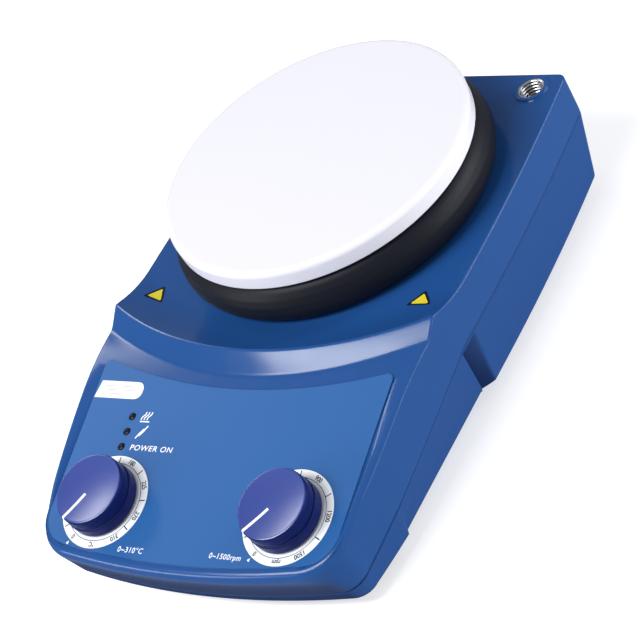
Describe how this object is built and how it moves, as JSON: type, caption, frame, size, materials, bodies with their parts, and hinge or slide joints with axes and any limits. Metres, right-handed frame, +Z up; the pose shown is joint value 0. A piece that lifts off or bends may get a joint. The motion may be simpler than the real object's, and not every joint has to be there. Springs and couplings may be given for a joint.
{
  "type": "heated magnetic stirrer",
  "caption": "Benchtop magnetic stirrer with a round heated plate on a black collar, a wedge-shaped case and a sloping front panel with turning knobs.",
  "frame": {"origin": "on the table, in the middle of the footprint", "axes": "+X to the right of a person at the front panel, +Y to the rear, +Z up"},
  "size_m": [0.1592, 0.252, 0.0811],
  "materials": {
    "case_blue": "satin",
    "label_blue": "gloss",
    "knob_blue": "gloss",
    "print_white": "satin",
    "enamel_white": "gloss",
    "collar_black": "satin",
    "rubber": "matte",
    "zinc_plate": "satin",
    "steel": "satin",
    "cast_alloy": "satin",
    "magnet_silver": "polished",
    "copper_winding": "satin",
    "mica": "matte",
    "insulation_wool": "matte",
    "black_moulding": "matte",
    "smoked_lens": "gloss",
    "board_green": "satin",
    "coil_tape": "satin"
  },
  "bodies": {
    "case": {"case_screw_front_left": "zinc_plate", "case_screw_front_right": "zinc_plate", "case_screw_rear_left": "zinc_plate", "case_screw_rear_right": "zinc_plate", "control_board": "board_green", "foot_front_left": "rubber", "foot_front_right": "rubber", "foot_rear_left": "rubber", "foot_rear_right": "rubber", "fuse_holder": "black_moulding", "heat_indicator": "smoked_lens", "heat_sink": "cast_alloy", "heater_clamp": "steel", "heating_element": "mica", "insulation_disc": "insulation_wool", "left_dial_ring": "print_white", "left_pot_nut": "zinc_plate", "left_potentiometer": "cast_alloy", "lower_housing": "case_blue", "mains_inlet": "black_moulding", "motor_bearing_lower": "steel", "motor_bearing_upper": "steel", "motor_bracket": "zinc_plate", "motor_housing": "cast_alloy", "motor_stator": "copper_winding", "panel_overlay": "label_blue", "plate_collar": "collar_black", "plate_post_1": "steel", "plate_post_2": "steel", "plate_post_3": "steel", "power_board": "board_green", "power_indicator": "smoked_lens", "power_switch_frame": "black_moulding", "right_dial_ring": "print_white", "right_pot_nut": "zinc_plate", "right_potentiometer": "cast_alloy", "rod_socket": "steel", "stir_indicator": "smoked_lens", "temperature_sensor": "steel", "thermal_cutout": "black_moulding", "transformer_coil": "coil_tape", "transformer_core": "zinc_plate", "upper_housing": "case_blue", "work_plate": "enamel_white"},
    "left_knob_body": {"left_knob": "knob_blue", "left_pointer": "print_white", "left_pot_shaft": "steel"},
    "right_knob_body": {"right_knob": "knob_blue", "right_pointer": "print_white", "right_pot_shaft": "steel"},
    "rotor_body": {"motor_armature": "steel", "motor_shaft": "steel", "magnet_carrier": "black_moulding", "drive_magnet_left": "magnet_silver", "drive_magnet_right": "magnet_silver"},
    "rocker_body": {"power_switch_rocker": "black_moulding"},
    "fuse_cap_body": {"fuse_cap": "black_moulding"}
  },
  "joints": [
    {"name": "left_knob_turn", "type": "hinge", "parent": "case", "child": "left_knob_body", "pos_m": [-0.0453, -0.0982, 0.0382], "axis": [0, 0.2416, -0.9704], "range_deg": [0, 292]},
    {"name": "right_knob_turn", "type": "hinge", "parent": "case", "child": "right_knob_body", "pos_m": [0.0453, -0.0982, 0.0382], "axis": [0, 0.2416, -0.9704], "range_deg": [0, 292]},
    {"name": "rotor_spin", "type": "hinge", "parent": "case", "child": "rotor_body", "pos_m": [0, 0.0524, 0.05], "axis": [0, 0, 1], "continuous": true},
    {"name": "power_switch_rock", "type": "hinge", "parent": "case", "child": "rocker_body", "pos_m": [0.008, 0.11796, 0.02149], "axis": [1, 0, 0], "range_deg": [0, 12]},
    {"name": "fuse_cap_turn", "type": "hinge", "parent": "case", "child": "fuse_cap_body", "pos_m": [0.034, 0.12075, 0.0204], "axis": [0, 0.9311, -0.3648], "range_deg": [0, 90]}
  ]
}
